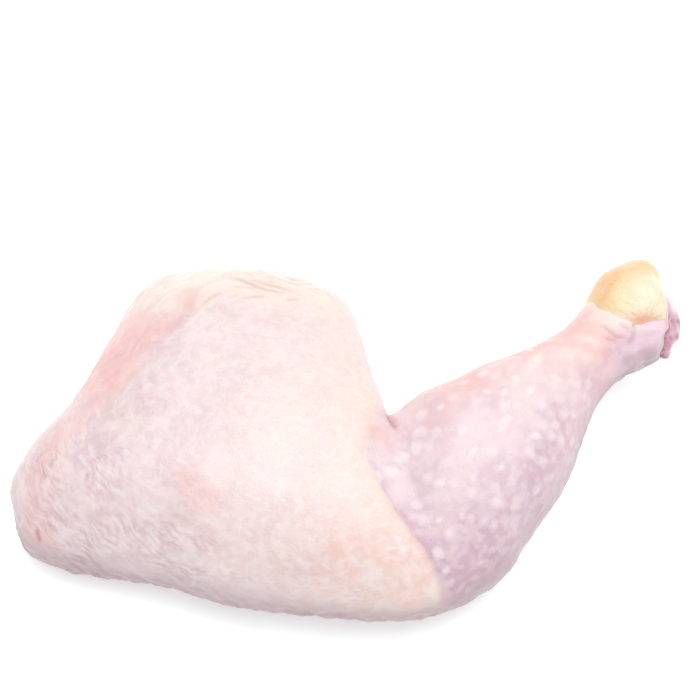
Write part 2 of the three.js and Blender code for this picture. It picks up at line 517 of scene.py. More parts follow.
relief += FOLLICLE_HEIGHT * follicle
outer = (degrees + 180) % 360 - 180  # the angle from the outer edge in degrees, up (+) or down (-)
follicle *= 0.6 + 0.4 * smooth(10, 52, np.abs(outer))
print(len(follicles), "follicles")

# %% [markdown]
# The hip end is wrinkled like a loose glove. The wrinkles run round a point in the middle of the leg, so
# they are drawn in polar form: noise that changes fast outwards and slowly along, and that sways a little.
# Its hills are the short raised wisps that thin wet skin forms and its hollows are the dips between them. The
# wisps are painted lighter, a painted highlight, and the dips darker, a painted shade. They are gathered in a
# few bundles. The swaying coordinates are painted too, because the material draws finer wrinkles on them.

# %% Wrinkles
WRINKLE_CENTRE = np.array([-2.8, 8.0])
WRINKLE_RADIUS = 80  # where a radian along is measured in millimetres
WRINKLE_HEIGHT = 0.45
WAVES = ((0.75, (2.3, 5.2, 1), 6), (0.6, (1.6, 3.8, 1), 7), (0.3, (4.5, 13, 1), 36))  # share, size and seed
WRINKLE_BUNDLES = [  # paths in plan and widths
    ([(-84, -2), (-84.5, -12), (-85, -22), (-86, -27)], 3.6),
    ([(-84, -29), (-80, -33), (-75, -36), (-70, -38)], 4.2),
    ([(-68, -21), (-66, -27), (-61, -33), (-54, -38.5)], 5.0),
    ([(-46, -27), (-44, -33), (-38, -38)], 4.0),
]


def wrinkle_place(points):
    """Polar coordinates in millimetres round the wrinkles' centre: outwards (and down), and along."""
    rel = points[..., :2] - WRINKLE_CENTRE
    outwards = np.hypot(rel[..., 0], rel[..., 1]) + 0.9 * (38 - points[..., 2])
    along = np.arctan2(rel[..., 0] - rel[..., 1], -rel[..., 0] - rel[..., 1]) * WRINKLE_RADIUS
    return np.stack([outwards, along, np.zeros_like(along)], -1)


def ridges(place, size, seed, sharp):
    """Thin raised lines, where noise crosses zero: (1 - sharp |noise|)^2."""
    return np.clip(1 - sharp * np.abs(noise(place, size, seed)), 0, 1) ** 2


wrinkle_at = wrinkle_place(smooth_skin)
wrinkle_at[..., 0] += 0.9 * noise(smooth_skin, 9, 3) + 3 * noise(smooth_skin, 30, 4)
wrinkled = smooth(50, 84, wrinkle_at[..., 0]) * (1 - smooth(-6, 20, x))
wrinkled *= 1 - 0.75 * smooth(-12, 12, y)
wrinkled *= np.clip(0.75 + 0.7 * noise(smooth_skin, 14, 5), 0.15, 1.2)
sway = wrinkle_at.copy()
sway[..., 0] += 1.9 * noise(smooth_skin, 5.5, 35)
wave = sum(share * noise(sway, size, seed) for share, size, seed in WAVES)
bundle = sum(bell(near_path(smooth_skin, path)[0], 0, width) for path, width in WRINKLE_BUNDLES)
patchy = 0.65 * smooth(-0.2, 0.4, noise(wrinkle_at, (8, 20, 1), 26))
gathered = wrinkled * np.clip(patchy + bundle, 0, 1)
# painted highlight on the wrinkles' ridges and painted shade in their hollows
wisp_highlight = gathered * smooth(0.06, 0.45, wave)
dip_shade = gathered * smooth(-0.1, -0.5, wave)
relief += WRINKLE_HEIGHT * gathered * np.clip(wave, -0.7, 0.9)

# %% [markdown]
# Next come single lines drawn in plan: the folds where the skin wraps over the thigh's back rim, and the
# tendons that stand out at the ankle. A stroke is a soft ridge or crease with thin ends.

# %% Folds and tendons


def stroke(path, width, ends):
    """1 along a path in plan and 0 away from it, thin at both ends, on the upper side only."""
    in_plan = smooth_skin[..., :2]
    close = ((in_plan > np.min(path, 0) - 3 * width) & (in_plan < np.max(path, 0) + 3 * width)).all(-1)
    gap, share, _ = near_path(in_plan[close], path)
    mark = np.zeros(row.shape)
    mark[close] = bell(gap, 0, width) * smooth(0, ends, share) * smooth(0, ends, 1 - share)
    return mark * upper


def strokes(paths, width, ends):
    """Several strokes of one kind."""
    return sum(stroke(path, width, ends) for path in paths)


RIM_FOLD = [  # the long fold between the thigh's top and its flank, from the hip end up and along the back
    (-75.5, -6), (-71.4, -3.3), (-65.5, 0.8), (-62, 5), (-58.9, 9), (-55.8, 13.2), (-53.3, 18.5),
    (-49.2, 23), (-46.6, 28.8), (-45.4, 34), (-42.4, 39), (-39.5, 43.6), (-34.6, 45.4), (-29, 42.4),
    (-23.6, 40.3), (-17, 39), (-8, 38.4), (-1, 27), (4, 14),
]
RIM_ROLL = [(-50, 34), (-44, 46), (-34, 49), (-24, 47), (-12, 44), (-3, 37)]
RIM_CREASES = [
    [(-34.6, 45.4), (-31.2, 44.6), (-28.2, 42.3), (-24.4, 40.1), (-20.5, 39.2), (-16.2, 38.1)],
    [(-28.9, 45.6), (-25.4, 42.9), (-22.5, 41.8), (-18.7, 40.7), (-14.8, 38.3)],
]
FAINT_CREASES = [
    [(-44.7, 27), (-42.6, 30.5), (-40.7, 33.2), (-39.4, 35), (-37.5, 36.7), (-35.7, 37.8), (-32.4, 39.4)],
    [(-35.3, 40.4), (-29.1, 40.6), (-25.9, 40.2)],
    [(-19.5, 35), (-16, 36), (-12.8, 36.3)],
    [(-33, 34), (-27, 36.5), (-21, 36.8)],
]
TENDONS = [
    [(54, 13), (59, 15.2), (64.3, 15.9), (68.1, 15.1), (71.6, 14.4)],
    [(60, 20), (65, 21.5), (69, 20), (73, 17.5)],
    [(65, 27), (69, 27.6), (73, 25.6), (76.5, 23)],
    [(46, 6), (50, 9), (53, 14), (54, 19)],
]
ANKLE_CREASES = [
    [(69, 24.7), (71.2, 24.8), (73.1, 23.3), (75.1, 22.1), (77.4, 22.1), (78.8, 22.2)],
    [(75.2, 25.6), (78, 24.5), (79.1, 23.2)],
    [(70.6, 22.1), (73.4, 21.2), (76.2, 20.7)],
]
HOCK_FOLDS = [
    [(74, 15.4), (77.4, 17.3), (81.1, 19.3), (84, 20.8), (86.2, 22.3), (87.7, 24.3)],
    [(79.5, 17.4), (82.8, 18.9), (85.6, 20.6), (87.4, 22)],
]
LOBE_CREASE = [(79.2, 25.9), (80, 24), (79.6, 22), (77.6, 20.2)]
NICK = [(-86.5, -31), (-85.7, -32.6), (-84.9, -34.2)]
fold_gap, fold_share, fold_side = near_path(smooth_skin, RIM_FOLD)
beyond = fold_gap * fold_side  # millimetres past the fold, on the flank's side
fold_strength = smooth(0.05, 0.3, fold_share) * (1 - smooth(0.66, 0.82, fold_share)) * upper
fold_strength *= np.clip(0.8 + 0.6 * noise(smooth_skin, 17, 8), 0.25, 1.2)
fold_wobble = beyond + 1.4 * noise(smooth_skin, 9, 10)
along_back = smooth(0.42, 0.6, fold_share)  # there the fold is only a thin crease
valley = fold_strength * bell(fold_wobble, 0, 2.0 - 0.9 * along_back) * (1 - 0.65 * along_back)
roll_beside = fold_strength * bell(fold_wobble, 4.5, 3) * (1 - 0.6 * along_back)
fold_at = np.stack([fold_wobble, fold_share * 160, np.zeros_like(fold_share)], -1)
flank = smooth(-2.5, 5, beyond) * smooth(0, 0.12, fold_share) * upper * smooth(6, -8, x)
flank_lines = ridges(fold_at, (2.4, 13, 1), 11, 3.2) * flank * (0.4 + 0.6 * smooth(0.3, 0.6, fold_share))
ruffle = noise(smooth_skin, (4.5, 7, 7), 31) * flank * smooth(30, 42, y)
rim_crease = strokes(RIM_CREASES, 0.5, 0.25) + 0.6 * strokes(FAINT_CREASES, 0.6, 0.4)
tendon = strokes(TENDONS, 1.6, 0.4)
ankle_crease = strokes(ANKLE_CREASES, 0.5, 0.35)
nick = stroke(NICK, 0.6, 0.3)
relief += sum(height * field for height, field in (
    (0.5, stroke(RIM_ROLL, 3.2, 0.3)), (-0.75, valley), (0.5, roll_beside), (-0.3, flank_lines),
    (0.5, ruffle), (-0.16, rim_crease), (0.4, tendon), (-0.3, ankle_crease), (-0.3, nick),
))
print("the folds reach", round(float(valley.max()), 2), "of their depth")

# %% [markdown]
# At the hock the skin passes under a cap of scales. The cap is an oval with square shoulders, laid out in
# slices and angles: |x|^2.5 + |y|^2.5 = 1. Both ways of reading it are needed, from a place in the oval to
# the form, for the cap's own surface, and from a point of skin to its place in the oval, to press the skin
# down under the cap and roll it up along its lower border, where it makes a lobe.

# %% The skin round the scale cap
CAP_SLICE, CAP_REACH = 16.49, 1.37  # the cap's middle and half its length, in slices
CAP_ANGLE, CAP_TURN = radians(118), radians(72)  # its middle and half its width, in angle round the slice
CAP_LEAN = radians(18)  # how far it leans back for each slice along the leg
SQUARE = 2.5
CAP_WAVES = ((0.03, 3, 1), (0.02, 7, 2), (0.012, 13, 0))  # height, how many round the border, and phase
SHOULDER_DEPTH, SHOULDER_SLICE = 1.8, 17.4
SHOULDER_ANGLE, SHOULDER_WIDTH = 106, 32  # degrees


def signed_power(value, power):
    """A power that keeps the sign."""
    return np.sign(value) * np.abs(value) ** power


def cap_border(turn):
    """How unevenly the cap's border runs: 1 with small waves, and further out at one corner."""
    waves = 1 + sum(height * np.sin(count * turn + phase) for height, count, phase in CAP_WAVES)
    return waves + 0.1 * bell(turn, 0.55, 0.5)


def cap_place(share, turn):
    """Slices and angles of the oval, from its middle (share 0) to its border (share 1)."""
    reach = share * cap_border(turn)
    along, across = (reach * signed_power(wave(turn), 2 / SQUARE) for wave in (np.cos, np.sin))
    return CAP_SLICE + CAP_REACH * along, CAP_ANGLE - CAP_LEAN * CAP_REACH * along + CAP_TURN * across


def shoulder(at, angle):
    """How far the hock's upper end falls away from the form, in millimetres."""
    reach = np.where(at < SHOULDER_SLICE, 0.6, 1.3)
    round_it = bell(np.degrees(angle) % 360, SHOULDER_ANGLE, SHOULDER_WIDTH)
    return SHOULDER_DEPTH * bell(at, SHOULDER_SLICE, reach) * round_it


def cap_share(at, angle):
    """The share at which a place on the form lies: under 1 is beneath the cap."""
    along = (at - CAP_SLICE) / CAP_REACH
    round_it = (np.mod(angle, 2 * pi) - CAP_ANGLE + CAP_LEAN * (at - CAP_SLICE)) / CAP_TURN
    reach = (np.abs(along) ** SQUARE + np.abs(round_it) ** SQUARE) ** (1 / SQUARE)
    turn = np.arctan2(signed_power(round_it, SQUARE / 2), signed_power(along, SQUARE / 2))
    return reach / cap_border(turn)


in_cap = cap_share(at, angle)
cap_roll = bell(in_cap, 1.06, 0.06) * smooth(15.9, 16.3, at) * smooth(95, 65, outer)
lobe = bell(at, 16.65, 0.6) * bell(outer, 26, 26)
lobe_crease = stroke(LOBE_CREASE, 0.8, 0.2)
hock_fold = strokes(HOCK_FOLDS, 0.7, 0.3)
low_hock = smooth(14.6, 15.6, at) * smooth(17.8, 17.3, at) * smooth(48, 28, outer) * smooth(-80, -45, outer)
beyond_cap = smooth(17.45, 17.85, at) * bell(degrees, 118, 52)  # hidden where the cap reaches the cut
relief += sum(height * field for height, field in (
    (0.8, noise(smooth_skin, 4.2, 40) * low_hock), (-0.42, hock_fold), (-2.3, beyond_cap), (0.45, cap_roll),
    (0.7, lobe), (-0.5, lobe_crease), (-0.9, smooth(1.0, 0.8, in_cap)), (-1, shoulder(at, angle)),
))
print("relief runs from", round(float(relief.min()), 2), "to", round(float(relief.max()), 2), "mm")

# %% Close the skin


def closed_tube(rows, columns):
    """Faces of a grid closed round its columns, whose first and last points close its two ends."""
    first = 1 + np.arange(rows - 1)[:, None] * columns + np.arange(columns)
    turn_on = 1 + np.arange(rows - 1)[:, None] * columns + (np.arange(columns) + 1) % columns
    quads = np.stack([first, first + columns, turn_on + columns, turn_on], -1).reshape(-1, 4)
    ring = np.arange(columns)
    near = np.stack([np.zeros_like(ring), 1 + ring, 1 + (ring + 1) % columns], -1)
    last = 1 + (rows - 1) * columns
    far = np.stack([np.full_like(ring, last + columns), last + (ring + 1) % columns, last + ring], -1)
    return quads.tolist() + near.tolist() + far.tolist()


def add_tube(name, start, grid, end):
    """A piece from a grid of rings and the two points that close it, with its faces pointing outwards."""
    points = np.vstack([start, grid.reshape(-1, 3), end])
    faces = closed_tube(*grid.shape[:2])
    quads = np.array(faces[:(grid.shape[0] - 1) * grid.shape[1]])
    a, b, c = (points[quads[:, k]] for k in (0, 1, 2))
    if (a * np.cross(b, c)).sum() < 0:
        faces = [face[::-1] for face in faces]
    piece = add_mesh(name, points, faces)
    piece.data.shade_smooth()
    return piece


skin_points = smooth_skin + skin_out * relief[..., None]
pressed = smooth(1.5, 4.0, smooth_skin[..., 2])  # nothing is raised on the flat that the leg lies on
skin_points[..., 2] = smooth_skin[..., 2] + (skin_points[..., 2] - smooth_skin[..., 2]) * pressed
skin_points[..., 2] = np.maximum(skin_points[..., 2], low[2])

rim = skin_points[-1]
onwards = rim - skin_points[-4]
onwards /= np.linalg.norm(onwards, axis=1, keepdims=True)
roll = np.linspace(0, pi, LIP_ROWS + 1)[1:, None, None]
lip = rim + LIP_RADIUS * (np.sin(roll) * onwards - (1 - np.cos(roll)) * skin_out[-1])
whole = np.concatenate([skin_points, lip])
skin = add_tube("leg_skin", leg_form(np.zeros(1), np.zeros(1)), whole, rim.mean(0) - 2 * onwards.mean(0))
triangles = sum(len(face.vertices) - 2 for face in skin.data.polygons)
print("the skin has", triangles, "triangles")

# %% [markdown]
# ## Colour by place
#
# The skin's tints are painted as shares from 0 to 1, one attribute for each cause: bare drumstick,
# follicle, flush of blood under thin skin, cream fat on the rim, and so on. Some of them are painted light
# and
# shade: shade on the undersides, in creases and in the bend, light on the wrinkles' ridges and the back rim.
# The material mixes its colours by them, so a place can be read and changed by name.

# %% Painting


def paint(piece, name, field, extra_rows=0):
    """Stores a field over a tube's grid as an attribute, carried on to its two closing points."""
    field = np.concatenate([field, np.repeat(field[-1:], extra_rows, 0)])
    flat = field.reshape(-1, *field.shape[2:])
    values = np.concatenate([field[0].mean(0, keepdims=True), flat, field[-1].mean(0, keepdims=True)])
    kind, key = ("FLOAT_VECTOR", "vector") if values.ndim == 2 else ("FLOAT", "value")
    piece.data.attributes.new(name, kind, "POINT").data.foreach_set(key, values.astype(np.float32).ravel())


def wash(path, width):
    """1 along a path in plan, fading away from it, on every side of the leg."""
    gap, share, _ = near_path(smooth_skin, path)
    return bell(gap, 0, width) * (0.35 + 0.65 * smooth(0, 0.2, np.minimum(share, 1 - share)))


def spot(at_x, at_y, width):
    """1 at a place in plan, fading away from it."""
    return bell(x, at_x, width) * bell(y, at_y, width) * upper


def uneven(base, share, size, seed):
    """A factor around a base that changes from place to place."""
    return base + share * noise(smooth_skin, size, seed)


fat = 1 - drumstick
salmon = flank * smooth(38, 25, y) * smooth(-14, 6, y) * (0.8 + 0.4 * smooth(5, 14, beyond))
salmon = salmon * uneven(1, 0.4, 7, 12) - 0.7 * spot(-53, 31.5, 4.5)
inner_edge = drumstick * smooth(100, 132, degrees) * smooth(225, 190, degrees)
inner_edge *= 0.1 + 1.2 * smooth(9.9, 11.3, at)
thin_belly = drumstick * smooth(11.2, 13.2, at) * smooth(15.2, 14.2, at) * smooth(75, 25, degrees)
flush = 0.9 * np.maximum(salmon, 0) + 0.6 * inner_edge * uneven(1, 0.6, 9, 37) + 0.3 * thin_belly
flush += 0.5 * smooth(-74, -92, x) * uneven(0.8, 0.6, 6, 32) + 0.12 * low_hock
flush += 0.6 * wash([(6.5, -6.6), (8.1, -9.7), (11, -9)], 3.5)
flush += 0.35 * wash([(-72, -1), (-79, -8), (-83, -14)], 5)
flush += sum(share * spot(*place) for share, place in (
    (0.45, (-45.5, 36, 4)), (0.4, (-44, -25, 3.5)), (0.45, (-38.5, -30, 4.5)), (0.75, (67.7, 20.8, 7)),
    (0.35, (-83.5, -33.5, 3.5)),
))
# painted shade in warm beige: a patch on the thigh's left part and a band along its lower side
beige_shade = spot(-62, -3, 9) + 0.7 * wash([(-80, -20), (-70, -30), (-50, -38), (-20, -45), (8, -52)], 8)
rim_cream = bell(np.minimum(beyond, 0), 0, 9) * smooth(20, 38, y) * smooth(6, -8, x)
cream = np.clip(np.exp(-line_gap / 30) * fat + 0.85 * rim_cream, 0, 1)
peach = wash([(-12, -46), (4, -44), (13, -41), (18, -47), (23, -53)], 9) * fat * uneven(1, 1.2, 5.5, 13)
peach += 0.6 * spot(12.5, -40, 6) * fat
on_top = 1 - smooth(180, 216, degrees)
ankle = smooth(11.5, 14.2, at) * smooth(40, 85, degrees) * on_top
lilac = smooth(14.7, 16.0, at) * (1 - 0.75 * smooth(70, 110, outer))
# painted shade: darker on the drumstick's lower outer side and on the skin low under the hock
low_side_shade = drumstick * smooth(85, 12, outer) * smooth(-180, -114.6, outer) * smooth(15, 12.5, at)
low_side_shade = low_side_shade * (1 - 0.6 * smooth(10, 12, at)) + 0.5 * low_hock
# painted shade: the skin is darkened in the rim fold's valley, the flank's lines and the rim's and ankle's
# creases
crease_shading = 0.45 * valley + 0.3 * flank_lines + 0.75 * rim_crease + 0.8 * ankle_crease
by_cap = bell(np.maximum(in_cap, 1), 1, 0.11) * smooth(16.4, 15.8, at)

for name, field in {
    "drumstick": drumstick,
    "follicle": follicle,
    "flush": flush,
    "cream": cream,
    "beige_shade": beige_shade,
    "milk": bell(x, -20, 30) * bell(y, 2, 36),
    # cream fat along the back rim, lightened further as a painted highlight
    "pale_fat_and_highlight": wash([(-51, 36), (-46, 43), (-34, 48), (-20, 47)], 4.5) * upper,
    "peach": peach,
    "warm_side": smooth(55, 105, degrees) * on_top * uneven(0.75, 0.5, 12, 14),
    "low_side_shade": low_side_shade,
    "ankle": ankle * uneven(0.85, 0.4, 7, 33),
    "lilac": lilac + 0.35 * spot(22, -10, 10) * drumstick,
    # blood in the nick, and painted shade in the deep corner of the bend
    "blood_and_shade": nick + 0.45 * wash([(10.5, -1), (12, -4.5), (13.3, -7.2)], 1.5),
    "gathered": gathered,
    "wisp_highlight": wisp_highlight,
    "dip_shade": dip_shade,
    # painted shade in the creases and along the fat line's groove
    "crease_shade": crease_shading + 0.3 * crisp * bell(line_gap, 0, 1),
    # painted shade in the lobe's crease and the hock's folds
    "lobe_crease": lobe_crease + 0.85 * hock_fold,
    "tendon": tendon,
    # painted shade: darker where the skin turns to face downwards
    "turned_down_shade": smooth(0.58, -0.17, skin_out[..., 2]),
    "by_cap": by_cap,
    "cut_rim": smooth(CUT_SLICE - 0.3, CUT_SLICE - 0.12, row) * bell(outer, 38, 24),
}.items():
    paint(skin, name, np.clip(field, 0, 1), LIP_ROWS)
paint(skin, "wrinkle_at", sway, LIP_ROWS)

# %% [markdown]
# ## Raw skin
#
# Skin is a thin clouded film over fat and muscle. Three things make it look so: light that scatters under
# the surface and comes out pinker, a wet shine that is broken by fine grain, and clouding in its colour in
# several sizes. The grain and the clouding are node groups, because every finish on the leg uses them.

# %% Node helpers
REFLECTED = 0.68  # the share of the lamp's light that a colour seen at full brightness gives back


def tone(red, green, blue):
    """A colour as it looks on a screen, as the linear reflectance that gives it in this light."""
    screen = np.array([red, green, blue]) / 255
    linear = np.where(screen < 0.04045, screen / 12.92, ((screen + 0.055) / 1.055) ** 2.4)
    return (*(linear * REFLECTED), 1)


def new_group(name, inputs, outputs):
    """An empty shader group with named sockets, and its two end nodes."""
    group = bpy.data.node_groups.new(name, "ShaderNodeTree")
    for way, sockets in (("INPUT", inputs), ("OUTPUT", outputs)):
        for label, kind in sockets.items():
            group.interface.new_socket(label, in_out=way, socket_type="NodeSocket" + kind)
    return group, group.nodes.new("NodeGroupInput"), group.nodes.new("NodeGroupOutput")


def set_inputs(tree, node, **sockets):
    """Gives a node's inputs, by name or number, a value or another node's output."""
    for label, value in sockets.items():
        socket = node.inputs[int(label[1:]) if label[1:].isdigit() else label.replace("_", " ")]
        if isinstance(value, bpy.types.NodeSocket):
            tree.links.new(value, socket)
        else:
            socket.default_value = value


def add(tree, kind, settings=None, **sockets):
    """A new node with its settings and inputs."""
    node = tree.nodes.new("ShaderNode" + kind)
    for key, value in (settings or {}).items():
        setattr(node, key, value)
    set_inputs(tree, node, **sockets)
    return node


def maths(tree, operation, a, b):
    """Two numbers or sockets through one Math node."""
    return add(tree, "Math", {"operation": operation}, _0=a, _1=b).outputs[0]


def times(tree, a, b):
    """The product of two shares."""
    return maths(tree, "MULTIPLY", a, b)


def rest_of(tree, share):
    """1 minus a share."""
    return maths(tree, "SUBTRACT", 1.0, share)


def share_of(tree, name):
    """The painted attribute of that name."""
    return add(tree, "Attribute", {"attribute_name": name}).outputs["Fac"]


def tinted(tree, below, colour, share):
    """One colour laid over another by a share."""
    return add(tree, "Mix", {"data_type": "RGBA"}, _0=share, _6=below, _7=colour).outputs[2]


def layered(tree, colour, layers):
    """Tints laid over a colour in turn: screen colour, share or painted attribute, and strength."""
    for screen, share, strength in layers:
        share = share_of(tree, share) if isinstance(share, str) else share
        colour = tinted(tree, colour, tone(*screen), times(tree, share, strength))
    return colour


# %% Clouding and grain
clouding, entry, leave = new_group(
    "clouding",
    {"Vector": "Vector", "Per Metre": "Float", "Middle": "Float", "Softness": "Float"},
    {"Share": "Float", "Height": "Float"},
)
given = entry.outputs
cloud = add(clouding, "TexNoise", Vector=given["Vector"], Scale=given["Per Metre"], Detail=1.3, Roughness=0.5)
lower, upper_end = (maths(clouding, way, given["Middle"], given["Softness"]) for way in ("SUBTRACT", "ADD"))
limits = {"Value": cloud.outputs["Fac"], "From_Min": lower, "From_Max": upper_end}
ranged = add(clouding, "MapRange", {"interpolation_type": "SMOOTHSTEP"}, **limits)
set_inputs(clouding, leave, Share=ranged.outputs[0], Height=cloud.outputs["Fac"])

grain, entry, leave = new_group("grain", {"Vector": "Vector", "Per Metre": "Float"}, {"Height": "Float"})
at_scale = {"Vector": entry.outputs["Vector"], "Scale": entry.outputs["Per Metre"]}
fine = add(grain, "TexNoise", Detail=4.0, Roughness=0.65, **at_scale)
cells = add(grain, "TexVoronoi", {"feature": "DISTANCE_TO_EDGE"}, **at_scale)
cell_edge = add(grain, "MapRange", Value=cells.outputs["Distance"], From_Min=0.0, From_Max=0.25)
both = maths(grain, "ADD", times(grain, cell_edge.outputs[0], 0.35), fine.outputs["Fac"])
set_inputs(grain, leave, Height=both)


def clouds(tree, vector, per_metre, middle, softness, output="Share"):
    """Clouding: how small it is, the noise that its borders follow, and how soft they are."""
    settings = {"Vector": vector, "Per_Metre": float(per_metre), "Middle": middle, "Softness": softness}
    return add(tree, "Group", {"node_tree": clouding}, **settings).outputs[output]


def grained(tree, place, per_metre, strength, distance):
    """The direction of a surface with fine grain on it."""
    height = add(tree, "Group", {"node_tree": grain}, Vector=place, Per_Metre=float(per_metre))
    bump = add(tree, "Bump", Strength=strength, Distance=distance, Height=height.outputs["Height"])
    return bump.outputs["Normal"]


def new_finish(piece, name, roughness, scatter, **others):
    """Puts a material on a piece: its roughness, how far light scatters in it, and its other constants."""
    material = bpy.data.materials.new(name)
    material.use_nodes = True
    piece.data.materials.append(material)
    tree = material.node_tree
    surface = tree.nodes["Principled BSDF"]
    set_inputs(tree, surface, Roughness=roughness, Subsurface_Scale=scatter, Subsurface_Weight=0.35)
    set_inputs(tree, surface, Subsurface_Radius=(1.0, 0.42, 0.30), **others)
    return tree, surface


# %% The skin's finish
tree, surface = new_finish(skin, "raw_skin", 0.42, 0.0015, Coat_Weight=0.12, Coat_Roughness=0.22)
place = add(tree, "TexCoord").outputs["Object"]
wide_cloud = clouds(tree, place, 80, 0.48, 0.12)
patches = clouds(tree, place, 170, 0.55, 0.08)
small_cloud = clouds(tree, place, 330, 0.52, 0.08)
mottle = clouds(tree, place, 420, 0.58, 0.09)
folds_at = add(tree, "Attribute", {"attribute_name": "wrinkle_at"}).outputs["Vector"]


def stretched(*scale):
    """The wrinkles' polar coordinates, scaled outwards and along."""
    return add(tree, "VectorMath", {"operation": "MULTIPLY"}, _0=folds_at, _1=(*scale, 1.0)).outputs[0]


fine_wrinkles = stretched(0.72, 0.34)
in_bundle = share_of(tree, "gathered")
flecks = clouds(tree, stretched(0.42, 0.15), 1, 0.58, 0.08)
# painted highlight on the fine wrinkles' ridges and painted shade in their hollows
fine_wisp_highlight = times(tree, clouds(tree, fine_wrinkles, 1, 0.56, 0.05), in_bundle)
fine_dip_shade = times(tree, rest_of(tree, clouds(tree, fine_wrinkles, 1, 0.43, 0.05)), in_bundle)
wrinkle_height = clouds(tree, fine_wrinkles, 1, 0.5, 0.05, "Height")
cream_share = share_of(tree, "cream")
bare_patches = times(tree, patches, rest_of(tree, cream_share))  # where no fat hides what is under the skin

thigh = layered(tree, tone(233, 205, 213), [
    ((248, 225, 229), wide_cloud, 1.0),
    ((224, 200, 212), bare_patches, 0.6),
    ((252, 234, 234), "milk", 0.6),
    ((253, 233, 221), cream_share, 1.0),
    ((252, 208, 196), "peach", 0.66),
    # painted shade in warm beige
    ((233, 205, 200), "beige_shade", 0.5),
    # cream fat on the back rim, and a painted highlight
    ((255, 246, 232), "pale_fat_and_highlight", 0.75),
    ((255, 243, 242), small_cloud, 0.3),
    ((255, 246, 245), mottle, 0.18),
    ((255, 246, 245), flecks, 0.32),
    # painted highlight on the wrinkles' ridges and painted shade in their hollows
    ((254, 234, 232), "wisp_highlight", 0.55),
    ((207, 163, 171), "dip_shade", 0.3),
    # painted highlight and painted shade of the fine wrinkles
    ((255, 240, 238), fine_wisp_highlight, 0.7),
    ((202, 156, 165), fine_dip_shade, 0.4),
])
drum = layered(tree, tone(230, 200, 212), [
    ((246, 221, 228), wide_cloud, 1.0),
    ((222, 200, 215), patches, 0.35),
    ((253, 230, 222), "warm_side", 0.5),
    # painted shade on the drumstick's lower side
    ((212, 172, 190), "low_side_shade", 0.85),
    ((254, 234, 238), small_cloud, 0.35),
])
colour = layered(tree, tinted(tree, thigh, drum, share_of(tree, "drumstick")), [
    ((253, 225, 217), "ankle", 0.8),
    ((253, 223, 238), "lilac", 0.9),
    ((254, 190, 184), "flush", 0.75),
    ((255, 239, 243), "follicle", 0.95),
    ((255, 241, 233), "tendon", 0.5),
    # painted shade in the creases
    ((216, 158, 150), "crease_shade", 0.62),
    # painted shade in the lobe's crease and the hock's folds
    ((214, 168, 190), "lobe_crease", 0.6),
    # painted shade on the undersides
    ((188, 158, 164), "turned_down_shade", 0.95),
    # blood in the nick, and painted shade in the bend
    ((204, 122, 122), "blood_and_shade", 0.8),
    ((254, 241, 226), "by_cap", 0.7),
    ((240, 206, 190), "cut_rim", 0.7),
])
height = times(tree, maths(tree, "SUBTRACT", wrinkle_height, 0.5), in_bundle)
grainy = grained(tree, place, 1000, 0.4, 0.0002)
bump = add(tree, "Bump", Strength=0.7, Distance=0.00105, Height=height, Normal=grainy)
shine = add(tree, "MapRange", Value=small_cloud, To_Min=0.34, To_Max=0.52)
set_inputs(tree, surface, Base_Color=colour, Normal=bump.outputs["Normal"], Roughness=shine.outputs[0])
print("raw_skin has", len(tree.nodes), "nodes")

# %% [markdown]
# ## The hock
#
# Where the leg was cut from the foot, a cap of yellow shank scales covers the back of the joint. It is a
# lens that lies on the form: a disc of shares and turns, lifted in the middle, dipping under the skin at
# its border, and closed underneath. So its border runs as unevenly as the skin it sinks into.

# %% A lens on the form
LENS_RINGS, LENS_SPOKES, UNDER_RINGS = 100, 260, 10


def add_lens(name, place, lift, depth):
    """A closed patch: place(share, turn) gives slices and angles, and lift(share, base) the height in mm."""
    shares = np.linspace(0, 1, LENS_RINGS + 1)[1:] ** 0.8
    share, turn = grid_of(shares, np.linspace(0, 2 * pi, LENS_SPOKES, endpoint=False))
    at, angle = place(share, turn)
    base = leg_form(at, angle)
    top = base + outward(at, angle) * (lumps(base) + lift(share, base) - shoulder(at, angle))[..., None]
    below = np.linspace(1, 0, UNDER_RINGS + 1)[1:-1]
    under_at, under_angle = place(*grid_of(below, turn[0]))
    sunk = depth + shoulder(under_at, under_angle)
    under = leg_form(under_at, under_angle) - outward(under_at, under_angle) * sunk[..., None]
    grid = np.concatenate([top, under])
    return add_tube(name, top[0].mean(0), grid, under[-1].mean(0)), share, turn, at, angle, base


# %% [markdown]
# The scales on the cap are cracked finely, like dry paint, but only near one pinch at the lower edge, where
# the skin was drawn together: the cracks run out from it, and shorter ones cross them. Both are thin lines
# of noise, in polar form round the pinch.

# %% The scale cap
PINCH_AT = np.array([16.2]), np.array([radians(56)])  # slice and angle
PINCH, PINCH_OUT = leg_form(*PINCH_AT)[0], outward(*PINCH_AT)[0]
CAP_RISE, CAP_DIP, CRACK_DEPTH, CAP_DEPTH = 0.4, 0.35, 0.42, 1.4  # millimetres


def cracks(base):
    """Thin lines that run out from the pinch, and shorter lines across them."""
    side = unit(np.cross(PINCH_OUT, [0, 0, 1.0]))
    rel = base - PINCH
    far = np.linalg.norm(rel, axis=-1)
    way = np.arctan2(rel @ np.cross(PINCH_OUT, side), rel @ side) + 0.3 * noise(base, 5, 19)
    radial = ridges(np.stack([np.cos(way) * 6, np.sin(way) * 6, far / 7], -1), 1, 20, 3.6)
    across = ridges(np.stack([np.cos(way) * 3, np.sin(way) * 3, far / 1.9], -1), 1, 21, 4.2)
    near = np.exp(-far / 5)
    return radial * (near + 0.05 * np.exp(-far / 18)) + 0.5 * across * near * smooth(1, 4, far)


def cap_lift(share, base):
    """A dome that stands above the skin and dips under it at the border, with the cracks cut in."""
    dome = (CAP_RISE + CAP_DIP) * (1 - share ** 7) - CAP_DIP
    return dome + (0.3 * noise(base, 6, 22) - CRACK_DEPTH * cracks(base)) * (1 - share ** 6)


